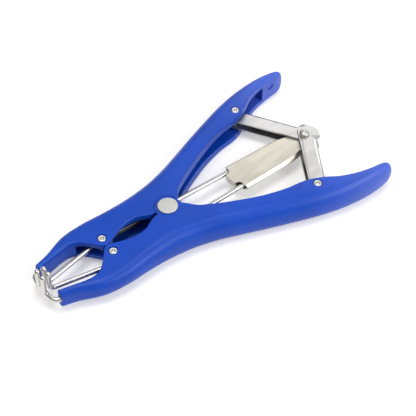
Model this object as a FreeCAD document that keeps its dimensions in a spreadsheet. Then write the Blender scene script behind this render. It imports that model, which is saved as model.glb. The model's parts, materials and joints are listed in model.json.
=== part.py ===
import FreeCAD, Part
import math
import os
import Sketcher
from FreeCAD import Placement, Rotation, Vector

# Elastrator pliers: reverse-acting pliers that stretch a rubber ring over four prongs.
# Two identical moulded halves cross at a pivot. Squeezing the handles spreads the two
# jaw wires, and a linkage behind the pivot draws two rods back, so the ring opens into
# a square. Millimetres. The construction frame has the pivot axis as Z, the handles
# towards +X, the nose towards -X and the left handle towards +Y; z = 0 is the
# parting plane of the slots. The finished part is then moved so that its box stands
# on the floor with its bottom centre at the origin.

# Driving sizes
# name, value in millimetres or degrees, meaning
SIZES = [
    ("handle_thickness", 21.0, "moulded halves, top to bottom, at pivot and handles"),
    ("nose_thickness", 14.2, "moulded halves, top to bottom, at the jaws"),
    ("nose_reach", 88.5, "pivot axis to the jaw end faces"),
    ("handle_reach", 137.6, "pivot axis to the handle tips"),
    ("contact_gap", 0.3, "space left between the two halves where the noses meet"),
    ("planing", 0.15, "height planed off the handles to leave their faces flat"),
    ("wall", 4.8, "outer wall beside the slots"),
    ("slot_height", 7.0, "height of the long slot that the rods run in"),
    ("slot_front", 58.0, "pivot axis to the front end of the long slot"),
    ("pocket_height", 11.2, "height of the pocket that a link folds into"),
    ("pocket_front", 72.0, "pivot axis to the front end of the link pocket"),
    ("pocket_rear", 118.0, "pivot axis to the rear end of the link pocket"),
    ("tip_relief", 22.0, "length over which a handle tip rolls off in side view"),
    ("ear_radius", 8.5, "radius of the four lapped ears at the pivot"),
    ("ear_clearance", 0.3, "space round each ear in the recess of the other half"),
    ("lap_clearance", 0.2, "space between two lapped ears along the pivot"),
    ("outer_ear", 3.4, "thickness of the outer ear of a half"),
    ("running_clearance", 0.05, "radial space between a pin and the hole that turns on it"),
    ("fixed_clearance", 0.02, "radial space between a pin and the hole it is set in"),
    ("pivot_shank", 6.0, "diameter of the pivot rivet"),
    ("pivot_head", 13.0, "diameter of the pivot rivet's head"),
    ("pivot_head_rise", 1.1, "height of the pivot head above the halves"),
    ("pivot_tail", 8.0, "diameter of the formed tail and of the step under the head"),
    ("washer_diameter", 12.0, "outer diameter of the two washers"),
    ("washer_thickness", 0.7, "thickness of the two washers"),
    ("seat_depth", 1.4, "depth of the washer seat in an outer ear"),
    ("seat_clearance", 0.2, "radial space round a washer in its seat"),
    ("spacer_diameter", 9.0, "outer diameter of the tube between the inner ears"),
    ("end_clearance", 0.1, "space at the ends of spacer, washers and heads"),
    ("small_shank", 3.3, "diameter of the four small rivets"),
    ("small_head", 5.8, "diameter of the small rivets' rolled heads"),
    ("small_head_height", 0.9, "height of the small rivets' rolled heads"),
    ("head_seat_depth", 1.0, "depth of the counterbore for a small head"),
    ("head_seat_clearance", 0.35, "radial space round a small head in its counterbore"),
    ("guide_reach", 45.6, "pivot axis to the guide rivets, towards the nose"),
    ("guide_offset", 6.1, "centre plane to the guide rivets"),
    ("link_pin_reach", 86.8, "pivot axis to the link rivets, towards the handles"),
    ("link_pin_offset", 41.8, "centre plane to the link rivets"),
    ("link_length", 48.8, "link rivet to knee rivet"),
    ("link_sheet", 1.2, "sheet thickness of the links"),
    ("link_front", 3.8, "link axis to the open side of its channel"),
    ("link_rear", 7.2, "link axis to the outer face of its web"),
    ("link_heel", 5.2, "radius of a link's end at the link rivet"),
    ("knee_lobe", 8.0, "how far a link's rounded end reaches past the knee"),
    ("web_start", 6.0, "link rivet to the near end of the web"),
    ("web_stop", 6.5, "knee to the near end of the web"),
    ("bend_radius", 2.4, "outer bend radius of the channel"),
    ("layer_clearance", 0.15, "space between stacked sheets at the knee"),
    ("open_pivot_clearance", 1.9, "radial space round the right link rivet"),
    ("knee_shank", 3.8, "diameter of the knee rivet"),
    ("knee_head", 6.2, "diameter of the knee rivet's heads"),
    ("knee_head_height", 2.5, "height of the knee rivet's upper head"),
    ("knee_tail_height", 1.6, "height of the knee rivet's lower head"),
    ("slider_sheet", 1.0, "sheet thickness of the slider"),
    ("slider_front", 52.0, "pivot axis to the slider's front edge"),
    ("slider_mouth", 10.0, "half width of the slider at its front edge"),
    ("slider_shoulder", 13.6, "half width of the slider at its shoulders"),
    ("slider_shoulder_back", 17.0, "knee to the slider's shoulders"),
    ("slider_ear", 4.9, "radius of the slider's ears at the knee"),
    ("mouth_notch", 2.4, "radius of the notches that the rods leave the slider by"),
    ("rod_diameter", 2.8, "diameter of the two pull rods"),
    ("rod_play", 0.1, "space above and below a rod in the slider"),
    ("rod_offset", 7.3, "centre plane to a rod at the slider's mouth"),
    ("rod_tail", 22.0, "length of a rod inside the slider"),
    ("rod_guide_clearance", 0.45, "space between a rod and its guide rivet"),
    ("rod_bend_ahead", 4.4, "guide rivet to the bend of a rod, towards the nose"),
    ("rod_prong_reach", 89.0, "pivot axis to the prongs of the rods"),
    ("rod_prong_offset", 2.4, "centre plane to the prongs of the rods"),
    ("wire_diameter", 3.1, "diameter of the two jaw wires"),
    ("wire_exit_offset", 12.4, "centre plane to a jaw wire at the jaw's end face"),
    ("wire_angle", 14.6, "angle of a jaw wire in its jaw, in degrees"),
    ("wire_depth", 17.0, "length of a jaw wire inside its jaw"),
    ("wire_lead", 3.2, "jaw end face to the first bend of a jaw wire"),
    ("wire_prong_reach", 93.2, "pivot axis to the prongs of the jaw wires"),
    ("wire_prong_offset", 3.0, "centre plane to the prongs of the jaw wires"),
    ("prong_height", 15.5, "top of the prongs above the slot's middle plane"),
    ("prong_bulb", 3.7, "diameter of the rounded end of a prong"),
]

# Stations of a moulded half, evenly spaced along X on each side of the pivot:
# name, distance of the outer side from the centre plane, share of the nose's thinning,
# rounding of the outer edges
STATIONS = [
    ("beak", 13.2, 1.0, 4.2),
    ("jaw", 17.3, 1.0, 5.0),
    ("shoulder", 24.4, 1.0, 6.0),
    ("nose", 26.2, 0.94, 6.6),
    ("cheek", 25.2, 0.60, 7.4),
    ("waist", 25.0, 0.19, 8.6),
    ("hub", 26.9, 0.0, 9.2),
    ("neck", 31.1, 0.0, 9.4),
    ("stem", 37.0, 0.0, 9.4),
    ("grip_front", 43.3, 0.0, 9.4),
    ("grip", 49.2, 0.0, 9.2),
    ("grip_rear", 54.6, 0.0, 8.8),
    ("bend", 58.5, 0.0, 7.8),
    ("heel", 60.3, 0.0, 6.8),
    ("tail", 60.0, 0.0, 6.2),
    ("tail_end", 57.5, 0.0, 5.8),
]
HUB_STATION = 6
NOSE_OVERRUN = 96.0 / 88.5
TAIL_OVERRUN = 144.0 / 137.6

# Inner outline of a half in plan. The first number is a share of nose_reach or
# handle_reach, the second is the distance from the centre plane.
JAW_INSIDE = [
    (1.0, 9.8), (0.893, 11.8), (0.791, 13.6), (0.734, 14.0),
    (0.667, 12.2), (0.621, 8.7), (0.580, 4.3), (0.551, 1.4),
]
NOSE_TOUCH = (0.527, 0.0)
LENS = [
    (0.493, 0.8), (0.418, 3.4), (0.345, 5.4), (0.282, 5.8),
    (0.226, 5.2), (0.181, 3.2), (0.136, 1.5), (0.102, 0.9),
]
HANDLE_INSIDE = [
    (0.065, 2.2), (0.111, 9.5), (0.172, 14.8), (0.271, 21.8), (0.374, 28.0),
    (0.487, 32.7), (0.613, 35.9), (0.682, 40.3), (0.745, 45.8), (0.820, 49.6),
    (0.887, 51.0), (0.945, 51.5),
]
TIP_INNER_BULGE = (0.990, 52.7)
TIP_END = (1.0, 55.4)
TIP_OUTER_BULGE = (0.985, 58.6)
TIP_LEAVE = (0.940, 61.4)

CLEAR = 60.0

doc = FreeCAD.newDocument("elastrator_pliers")
sheet = doc.addObject("Spreadsheet::Sheet", "sizes")
pieces = []


def fill_sheet():
    """Write every driving size as a plain number with an alias."""
    rows = list(SIZES)
    for name, outer, _, rounding in STATIONS:
        rows.append((name + "_outer", outer, "outer side at station " + name))
        rows.append((name + "_round", rounding, "outer edge rounding at station " + name))
    for row, (name, value, meaning) in enumerate(rows, start=1):
        sheet.set("A%d" % row, meaning)
        sheet.set("B%d" % row, str(value))
        sheet.setAlias("B%d" % row, name)
    doc.recompute()


def size(name):
    return float(sheet.get(name))


def cell(name):
    return "sizes." + name


# Places worked out from the sizes
def half_thickness():
    return size("handle_thickness") / 2


def section_half(share):
    """Half height of a section: the nose's for a share of 1, and a little over the handle's for 0."""
    nose = size("nose_thickness") / 2
    handle = half_thickness() + size("planing")
    return share * nose + (1 - share) * handle


def station_x(index):
    if index < HUB_STATION:
        return -size("nose_reach") * NOSE_OVERRUN * (HUB_STATION - index) / HUB_STATION
    last = len(STATIONS) - 1
    return size("handle_reach") * TAIL_OVERRUN * (index - HUB_STATION) / (last - HUB_STATION)


def station_x_formula(index):
    if index < HUB_STATION:
        share = NOSE_OVERRUN * (HUB_STATION - index) / HUB_STATION
        return "-%s * %.9f" % (cell("nose_reach"), share)
    last = len(STATIONS) - 1
    share = TAIL_OVERRUN * (index - HUB_STATION) / (last - HUB_STATION)
    return "%s * %.9f" % (cell("handle_reach"), share)


def along_stations(x, values):
    """Smooth value between the even stations, by a cubic through the four nearest."""
    places = [station_x(i) for i in range(len(STATIONS))]
    index = max(i for i in range(1, len(places) - 2) if places[i] <= x or i == 1)
    before, first, second, after = values[index - 1:index + 3]
    t = (x - places[index]) / (places[index + 1] - places[index])
    slope_first = (second - before) / 2
    slope_second = (after - first) / 2
    return (first * (2 * t**3 - 3 * t**2 + 1) + slope_first * (t**3 - 2 * t**2 + t)
            + second * (3 * t**2 - 2 * t**3) + slope_second * (t**3 - t**2))


def outer_at(x):
    return along_stations(x, [size(name + "_outer") for name, _, _, _ in STATIONS])


def half_at(x):
    height = along_stations(x, [section_half(share) for _, _, share, _ in STATIONS])
    return min(height, half_thickness())


def knee_reach():
    reach = size("link_length") ** 2 - size("link_pin_offset") ** 2
    return size("link_pin_reach") + math.sqrt(reach)


def link_angle():
    return math.degrees(math.asin(size("link_pin_offset") / size("link_length")))


def slider_half():
    return size("rod_diameter") / 2 + size("rod_play") + size("slider_sheet")


def left_link_inside():
    return slider_half() + size("layer_clearance")


def right_link_inside():
    return left_link_inside() + size("link_sheet") + size("layer_clearance")


def front_reach():
    return size("wire_prong_reach") + size("prong_bulb") / 2


def home():
    """Shift from the pivot frame to the part's own frame."""
    shift = (front_reach() - size("handle_reach")) / 2
    return Vector(shift, 0, half_thickness())


HOME_X = "({0} + {1} / 2 - {2}) / 2".format(
    cell("wire_prong_reach"), cell("prong_bulb"), cell("handle_reach"))
HOME_Z = cell("handle_thickness") + " / 2"


# Sketch helpers
def new_body(label):
    body = doc.addObject("PartDesign::Body", label)
    body.Label = label
    pieces.append(body)
    return body


def settle(body, rotation=None, at_x="0", at_y="0", at_z="0"):
    """Place a body by formulas on top of the shift to the part's own frame."""
    body.Placement = Placement(home(), rotation or Rotation())
    body.setExpression("Placement.Base.x", "%s + (%s)" % (HOME_X, at_x))
    body.setExpression("Placement.Base.y", at_y)
    body.setExpression("Placement.Base.z", "%s + (%s)" % (HOME_Z, at_z))


def new_sketch(body, name, role="XY_Plane", turn=None, **offsets):
    """Sketch on an origin plane; offsets are formulas along the sketch's own x, y, z."""
    sketch = body.newObject("Sketcher::SketchObject", name)
    plane = next(f for f in body.Origin.OriginFeatures if f.Role == role)
    sketch.AttachmentSupport = [(plane, "")]
    sketch.MapMode = "FlatFace"
    if turn is not None:
        sketch.AttachmentOffset = Placement(Vector(), turn)
    for axis, formula in offsets.items():
        sketch.setExpression("AttachmentOffset.Base." + axis, formula)
    return sketch


def bind(sketch, kind, references, formula):
    """Add a dimension to a sketch and tie it to the sheet."""
    doc.recompute()
    value = sketch.evalExpression(formula)
    value = getattr(value, "Value", value)
    index = sketch.addConstraint(Sketcher.Constraint(kind, *references, value))
    sketch.setExpression("Constraints[%d]" % index, formula)


def circle(sketch, radius_formula, x_formula=None, y_formula=None):
    def number(formula):
        value = sketch.evalExpression(formula)
        return getattr(value, "Value", value)

    centre = Vector(number(x_formula) if x_formula else 0, number(y_formula) if y_formula else 0, 0)
    geometry = Part.Circle(centre, Vector(0, 0, 1), number(radius_formula))
    index = sketch.addGeometry(geometry, False)
    bind(sketch, "Radius", (index,), radius_formula)
    if x_formula:
        bind(sketch, "DistanceX", (-1, 1, index, 3), x_formula)
        bind(sketch, "DistanceY", (-1, 1, index, 3), y_formula)
    else:
        sketch.addConstraint(Sketcher.Constraint("Coincident", index, 3, -1, 1))
    return index


def spline(points, start=None, end=None):
    curve = Part.BSplineCurve()
    tangents = {}
    if start is not None:
        tangents["InitialTangent"] = Vector(*start, 0)
    if end is not None:
        tangents["FinalTangent"] = Vector(*end, 0)
    curve.interpolate(Points=[Vector(x, y, 0) for x, y in points], **tangents)
    return curve


def segment(start, end):
    return Part.LineSegment(Vector(*start, 0), Vector(*end, 0))


def bow(start, middle, end):
    return Part.Arc(Vector(*start, 0), Vector(*middle, 0), Vector(*end, 0))


def dome(rim, base, rise):
    """Arc centred on the revolve axis, from the rim to the top of a dome (or its bottom)."""
    radius = (rim**2 + rise**2) / (2 * abs(rise))
    side = 1 if rise > 0 else -1
    half_height = math.sqrt(radius**2 - (rim / 2) ** 2) - (radius - abs(rise))
    return bow((rim, base), (rim / 2, base + side * half_height), (0, base + rise))


def polyline(points):
    return [segment(a, b) for a, b in zip(points, points[1:])]


def closed(points):
    return polyline(list(points) + [points[0]])


def pad(body, sketch, formula, symmetric=True, reverse=False):
    feature = body.newObject("PartDesign::Pad", sketch.Name + "_pad")
    feature.Profile = sketch
    feature.SideType = "Symmetric" if symmetric else "One side"
    feature.Reversed = reverse
    feature.setExpression("Length", formula)
    doc.recompute()
    return feature


def pocket(body, sketch, formula, symmetric=True, reverse=False):
    """Cut a sketch into the body and make sure that it took material away."""
    before = body.Shape.Volume
    feature = body.newObject("PartDesign::Pocket", sketch.Name + "_cut")
    feature.Profile = sketch
    feature.SideType = "Symmetric" if symmetric else "One side"
    feature.Reversed = reverse
    feature.setExpression("Length", formula)
    doc.recompute()
    if not body.Shape.Volume < before:
        raise RuntimeError(sketch.Name + " cuts nothing")
    return feature


def revolve(body, sketch):
    feature = body.newObject("PartDesign::Revolution", sketch.Name + "_turn")
    feature.Profile = sketch
    feature.ReferenceAxis = (sketch, ["V_Axis"])
    feature.Angle = 360
    doc.recompute()
    return feature


def fillet(body, formula, wanted):
    """Round every edge of the body that the test function accepts."""
    base = body.Tip
    shape = base.Shape
    names = ["Edge%d" % (i + 1) for i, edge in enumerate(shape.Edges) if wanted(shape, edge)]
    if not names:
        raise RuntimeError("no edge to round in " + body.Label)
    feature = body.newObject("PartDesign::Fillet", body.Name + "_round")
    feature.Base = (base, names)
    feature.setExpression("Radius", formula)
    doc.recompute()
    return feature


# Moulded halves
def between(first, second, third, fourth):
    """Formula of the smooth value half way between the second and third of four even stations."""
    return "(9 * (%s + %s) - (%s + %s)) / 16" % (second, third, first, fourth)


def section_sketches(body):
    """A section at each station, and one half way between each two that have two neighbours."""
    sketches = []
    last = len(STATIONS) - 1
    for index, (name, _, share, _) in enumerate(STATIONS):
        place = station_x_formula(index)
        outer = cell(name + "_outer")
        rounding = cell(name + "_round")
        sketches.append(section_sketch(body, name, place, share, outer, rounding))
        if not 0 < index < last - 1:
            continue
        four = STATIONS[index - 1:index + 3]
        place = "(%s + %s) / 2" % (place, station_x_formula(index + 1))
        outer = between(*[cell(station[0] + "_outer") for station in four])
        rounding = between(*[cell(station[0] + "_round") for station in four])
        shares = [station[2] for station in four]
        share = (9 * (shares[1] + shares[2]) - (shares[0] + shares[3])) / 16
        sketches.append(section_sketch(body, "past_" + name, place, share, outer, rounding))
    return sketches


def section_sketch(body, name, place, share, outer_formula, rounding_formula):
    """D-shaped cross-section of a half: square inside, fully rounded outside."""
    sketch = new_sketch(body, "section_" + name, "YZ_Plane", z=place)
    inner = -4.0
    outer = sketch.evalExpression(outer_formula)
    high = section_half(share)
    rounding = sketch.evalExpression(rounding_formula)
    flat = outer - rounding
    side = high - rounding
    axis = Vector(0, 0, 1)
    upper = Part.Circle(Vector(flat, side, 0), axis, rounding)
    lower = Part.Circle(Vector(flat, -side, 0), axis, rounding)
    quarter = math.pi / 2
    sketch.addGeometry([
        segment((inner, -high), (inner, high)),
        segment((inner, high), (flat, high)),
        Part.ArcOfCircle(upper, 0, quarter),
        segment((outer, side), (outer, -side)),
        Part.ArcOfCircle(lower, -quarter, 0),
        segment((flat, -high), (inner, -high)),
    ], False)
    rules = [
        ("Coincident", 0, 2, 1, 1), ("Tangent", 1, 2, 2, 2), ("Tangent", 2, 1, 3, 1),
        ("Tangent", 3, 2, 4, 2), ("Tangent", 4, 1, 5, 1), ("Coincident", 5, 2, 0, 1),
        ("Horizontal", 1), ("Vertical", 3), ("Horizontal", 5), ("Equal", 2, 4),
        ("Symmetric", 1, 1, 5, 2, -1),
    ]
    for rule in rules:
        sketch.addConstraint(Sketcher.Constraint(*rule))
    sketch.addConstraint(Sketcher.Constraint("DistanceX", -1, 1, 0, 1, inner))
    height = "{3:.6f} * {1} / 2 + (1 - {3:.6f}) * ({0} / 2 + {2})".format(
        cell("handle_thickness"), cell("nose_thickness"), cell("planing"), share)
    bind(sketch, "DistanceX", (-1, 1, 3, 1), outer_formula)
    bind(sketch, "DistanceY", (-1, 1, 1, 1), height)
    bind(sketch, "Radius", (2,), rounding_formula)
    return sketch


def plan_outline(body):
    """Everything in plan that the half leaves free: inside, beyond the tip and the jaw."""
    nose = -size("nose_reach")
    handle = size("handle_reach")
    touch = size("contact_gap") / 2
    jaw = [(nose * share, y) for share, y in JAW_INSIDE]
    lens = [(nose * share, y) for share, y in LENS]
    inside = [(handle * share, y) for share, y in HANDLE_INSIDE]
    tip = [(handle * share, y) for share, y in (TIP_INNER_BULGE, TIP_END, TIP_OUTER_BULGE, TIP_LEAVE)]
    nose_touch = (nose * NOSE_TOUCH[0], NOSE_TOUCH[1] + touch)
    far_x = handle + CLEAR
    far_y = outer_at(handle) + CLEAR
    corners = [tip[3], (tip[3][0], far_y), (far_x, far_y), (far_x, -CLEAR),
               (nose - CLEAR, -CLEAR), (nose - CLEAR, far_y), (nose, far_y), jaw[0]]
    sketch = new_sketch(body, "plan")
    sketch.addGeometry([
        spline(jaw), bow(jaw[-1], nose_touch, lens[0]), spline(lens), segment(lens[-1], inside[0]),
        spline(inside, end=(1, 0.12)), bow(inside[-1], tip[0], tip[1]), bow(tip[1], tip[2], tip[3]),
    ] + polyline(corners), False)
    return sketch


def tip_side_outline(body):
    """Two areas above and below the handle tip, seen from the side."""
    handle = size("handle_reach")
    start = handle - size("tip_relief")
    high = half_thickness()
    sketch = new_sketch(body, "tip_side", "XZ_Plane")
    for side in (1, -1):
        curve = [(start, high + 0.3), (start + 0.55 * size("tip_relief"), 0.93 * high),
                 (handle - 3.6, 0.82 * high), (handle, 0.58 * high), (handle + 2, 0.3 * high)]
        curve = [(x, side * z) for x, z in curve]
        corners = [curve[-1], (handle + CLEAR, side * 0.3 * high), (handle + CLEAR, side * CLEAR),
                   (start, side * CLEAR), curve[0]]
        sketch.addGeometry([spline(curve, start=(1, -0.06 * side))] + polyline(corners), False)
    return sketch


def planed_faces(body):
    """Two areas above and below the handles, seen from the side, that leave them flat."""
    high = half_thickness()
    front = -size("nose_reach") - CLEAR
    rear = size("handle_reach") + CLEAR
    sketch = new_sketch(body, "planed", "XZ_Plane")
    for side in (1, -1):
        sketch.addGeometry(closed([
            (front, side * high), (rear, side * high), (rear, side * CLEAR), (front, side * CLEAR)]), False)
    return sketch


def slot_outline(body, name, front, rear):
    """Slot open towards the centre plane, with the named wall left on the outside."""
    steps = 9
    places = [front + (rear - front) * i / steps for i in range(steps + 1)]
    curve = [(x, outer_at(x) - size("wall")) for x in places]
    sketch = new_sketch(body, name)
    sketch.addGeometry([spline(curve)] + polyline([
        curve[-1], (rear, -CLEAR / 3), (front, -CLEAR / 3), curve[0]]), False)
    return sketch


def ear_features(body):
    """Two ears of this half, and the two recesses for the ears of the other half."""
    lap = "(%s / 2 - %s - %s / 2)" % (
        cell("handle_thickness"), cell("outer_ear"), cell("lap_clearance"))
    half = cell("handle_thickness") + " / 2"
    slot = cell("slot_height") + " / 2"
    recess = "%s + %s" % (cell("ear_radius"), cell("ear_clearance"))
    clearance = cell("lap_clearance")

    upper_recess = new_sketch(body, "upper_recess", z="%s - %s / 2" % (lap, clearance))
    circle(upper_recess, recess)
    pocket(body, upper_recess, half, symmetric=False, reverse=True)

    lower_recess = new_sketch(body, "lower_recess", z="-(%s + %s / 2)" % (lap, clearance))
    circle(lower_recess, recess)
    pocket(body, lower_recess, "%s + %s / 2" % (lap, clearance), symmetric=False, reverse=True)

    inner_ear = new_sketch(body, "inner_ear", z=slot)
    circle(inner_ear, cell("ear_radius"))
    pad(body, inner_ear, "%s - %s / 2 - %s" % (lap, clearance, slot), symmetric=False)

    outer_ear = new_sketch(body, "outer_ear", z="-(%s)" % half)
    circle(outer_ear, cell("ear_radius"))
    pad(body, outer_ear, "%s - %s - %s / 2" % (half, lap, clearance), symmetric=False)


def pin_holes(body):
    """Pivot bore, washer seat, the two rivet holes and their counterbores."""
    through = "2 * " + cell("handle_thickness")
    bore = new_sketch(body, "pivot_bore")
    circle(bore, "%s / 2 + %s" % (cell("pivot_shank"), cell("running_clearance")))
    pocket(body, bore, through)

    seat = new_sketch(body, "washer_seat", z="-%s / 2" % cell("handle_thickness"))
    circle(seat, "%s / 2 + %s" % (cell("washer_diameter"), cell("seat_clearance")))
    pocket(body, seat, cell("seat_depth"), symmetric=False, reverse=True)

    spots = [
        ("guide", "-" + cell("guide_reach"), cell("guide_offset"), half_at(-size("guide_reach"))),
        ("link_pin", cell("link_pin_reach"), cell("link_pin_offset"), half_thickness()),
    ]
    for name, x_formula, y_formula, high in spots:
        hole = new_sketch(body, name + "_hole")
        circle(hole, "%s / 2 + %s" % (cell("small_shank"), cell("fixed_clearance")),
               x_formula, y_formula)
        pocket(body, hole, through)
        for side, word in ((1, "upper"), (-1, "lower")):
            level = "%s * (%.6f - %s)" % (side, high, cell("head_seat_depth"))
            seat = new_sketch(body, "%s_%s_seat" % (word, name), z=level)
            circle(seat, "%s / 2 + %s" % (cell("small_head"), cell("head_seat_clearance")),
                   x_formula, y_formula)
            pocket(body, seat, cell("handle_thickness"), symmetric=False, reverse=side > 0)


def wire_bore(body):
    """Slanting hole for the jaw wire, entered from the jaw's end face."""
    turn = Rotation(Vector(0, 1, 0), size("wire_angle"))
    sketch = new_sketch(body, "wire_bore", "YZ_Plane", turn,
                        x=cell("wire_exit_offset"), z="-" + cell("nose_reach"))
    circle(sketch, "%s / 2 + %s" % (cell("wire_diameter"), cell("fixed_clearance")))
    pocket(body, sketch, "2 * (%s + %s)" % (cell("wire_depth"), cell("end_clearance")))


def moulded_half(label, turned_over):
    """One half. The other is the same moulding turned over about the X axis."""
    body = new_body(label)
    sections = section_sketches(body)
    blank = body.newObject("PartDesign::AdditiveLoft", "blank")
    blank.Profile = sections[0]
    blank.Sections = sections[1:]
    blank.Ruled = True
    doc.recompute()
    deep = "3 * " + cell("handle_thickness")
    pocket(body, plan_outline(body), deep)
    wide = "4 * " + cell("tail_outer")
    pocket(body, planed_faces(body), wide)
    pocket(body, tip_side_outline(body), wide)
    long_slot = slot_outline(body, "long_slot", -size("slot_front"), size("pocket_rear") - 6)
    pocket(body, long_slot, cell("slot_height"))
    link_pocket = slot_outline(body, "link_pocket", size("pocket_front"), size("pocket_rear"))
    pocket(body, link_pocket, cell("pocket_height"))
    ear_features(body)
    pin_holes(body)
    wire_bore(body)
    turn = Rotation(Vector(1, 0, 0), 180) if turned_over else Rotation()
    settle(body, turn)
    return body


# Rivets, washers and spacer
def pivot_rivet():
    """Headed pivot: thin flat cap, a step through the upper washer, and a formed tail."""
    body = new_body("pivot_rivet")
    shank = size("pivot_shank") / 2
    cap = size("pivot_head") / 2
    tail = size("pivot_tail") / 2
    half = half_thickness()
    gap = size("end_clearance")
    seat = half - size("seat_depth")
    washer_top = seat + gap / 2 + size("washer_thickness")
    rise = size("pivot_head_rise")
    edge = 0.35
    sketch = new_sketch(body, "profile", "XZ_Plane")
    sketch.addGeometry(closed([
        (0, -half + gap), (tail - edge, -half + gap), (tail, -half + gap + edge),
        (tail, -washer_top), (shank, -washer_top), (shank, washer_top), (tail, washer_top),
        (tail, half + gap), (cap, half + gap), (cap, half + rise - edge),
        (cap - 0.3 * edge, half + rise - 0.3 * edge), (cap - edge, half + rise),
        (0.5 * cap, half + rise + 0.12), (0, half + rise + 0.16)]), False)
    revolve(body, sketch)
    settle(body)


def ring(label, outer_formula, bore_formula, length_formula, low_formula):
    """Flat ring or tube about the pivot axis."""
    body = new_body(label)
    sketch = new_sketch(body, "ring", z=low_formula)
    circle(sketch, outer_formula)
    circle(sketch, bore_formula)
    pad(body, sketch, length_formula, symmetric=False)
    settle(body)


def pivot_stack():
    pivot_rivet()
    bore = "%s / 2 + %s" % (cell("pivot_shank"), cell("fixed_clearance"))
    gap = cell("end_clearance")
    slot = cell("slot_height") + " / 2"
    ring("pivot_spacer", cell("spacer_diameter") + " / 2", bore,
         "%s - 2 * %s" % (cell("slot_height"), gap), "%s - %s" % (gap, slot))
    seat = "(%s / 2 - %s + %s / 2)" % (cell("handle_thickness"), cell("seat_depth"), gap)
    outer = cell("washer_diameter") + " / 2"
    thick = cell("washer_thickness")
    ring("upper_washer", outer, bore, thick, seat)
    ring("lower_washer", outer, bore, thick, "-%s - %s" % (seat, thick))


def rolled_head(shank, head, floor, height, side):
    """Half profile of a tubular rivet's rolled head, from the shank to the axis."""
    rim = 0.30 * head
    crown = floor + height
    points = [
        (shank, floor), (head - 0.15, floor), (head, floor + 0.2), (head, floor + 0.45 * height),
        (0.93 * head, floor + 0.82 * height), (0.78 * head, crown), (0.60 * head, crown),
        (rim + 0.2, floor + 0.75 * height), (rim, floor + 0.35 * height), (0, floor + 0.25 * height),
    ]
    return polyline([(x, side * z) for x, z in points])


def small_rivet(label, half, reach_formula, offset_formula):
    """Tubular rivet set from both faces of a half, with rolled, dimpled heads."""
    body = new_body(label)
    shank = size("small_shank") / 2
    head = size("small_head") / 2
    floor = half - size("head_seat_depth") + size("end_clearance") / 2
    height = size("small_head_height")
    sketch = new_sketch(body, "profile", "XZ_Plane")
    upper = rolled_head(shank, head, floor, height, 1)
    lower = rolled_head(shank, head, floor, height, -1)
    ends = floor + 0.25 * height
    outline = upper + lower + [segment((shank, -floor), (shank, floor)), segment((0, -ends), (0, ends))]
    sketch.addGeometry(outline, False)
    revolve(body, sketch)
    settle(body, None, reach_formula, offset_formula)


def knee_rivet():
    """Domed rivet that joins both links and the slider."""
    body = new_body("knee_rivet")
    shank = size("knee_shank") / 2
    head = size("knee_head") / 2
    under = right_link_inside() + size("link_sheet") + size("layer_clearance")
    top = under + size("knee_head_height")
    bottom = -under - size("knee_tail_height")
    side = 0.45
    sketch = new_sketch(body, "profile", "XZ_Plane")
    upper_edge = under + side * size("knee_head_height")
    lower_edge = -under - side * size("knee_tail_height")
    sketch.addGeometry([dome(head, upper_edge, top - upper_edge)] + polyline([
        (head, upper_edge), (head, under), (shank, under), (shank, -under), (head, -under),
        (head, lower_edge)]) + [
        dome(head, lower_edge, bottom - lower_edge),
        segment((0, bottom), (0, top)),
    ], False)
    revolve(body, sketch)
    settle(body, None, "%.9f" % knee_reach())


# Links
def link_outline(body):
    """Side plate of a link: heel round its rivet, straight flanks, wide lobe at the knee."""
    length = size("link_length")
    front = -size("link_front")
    rear = size("link_rear")
    heel = size("link_heel")
    lobe = size("knee_lobe")
    heel_front = -math.sqrt(max(heel**2 - front**2, 0.01))
    lobe_front = length + 0.66 * lobe
    step_x = length - size("web_stop")
    step_y = rear + 0.26 * lobe
    sketch = new_sketch(body, "side_plate")
    sketch.addGeometry([
        segment((heel_front, front), (lobe_front, front)),
        bow((lobe_front, front), (length + 0.95 * lobe, 0.42 * rear), (step_x + 0.22 * lobe, step_y)),
        segment((step_x + 0.22 * lobe, step_y), (step_x + 0.1 * lobe, rear)),
        segment((step_x + 0.1 * lobe, rear), (heel * 0.4, rear)),
        bow((heel * 0.4, rear), (-heel * 0.9, heel * 0.45), (heel_front, front)),
    ], False)
    return sketch


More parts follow.
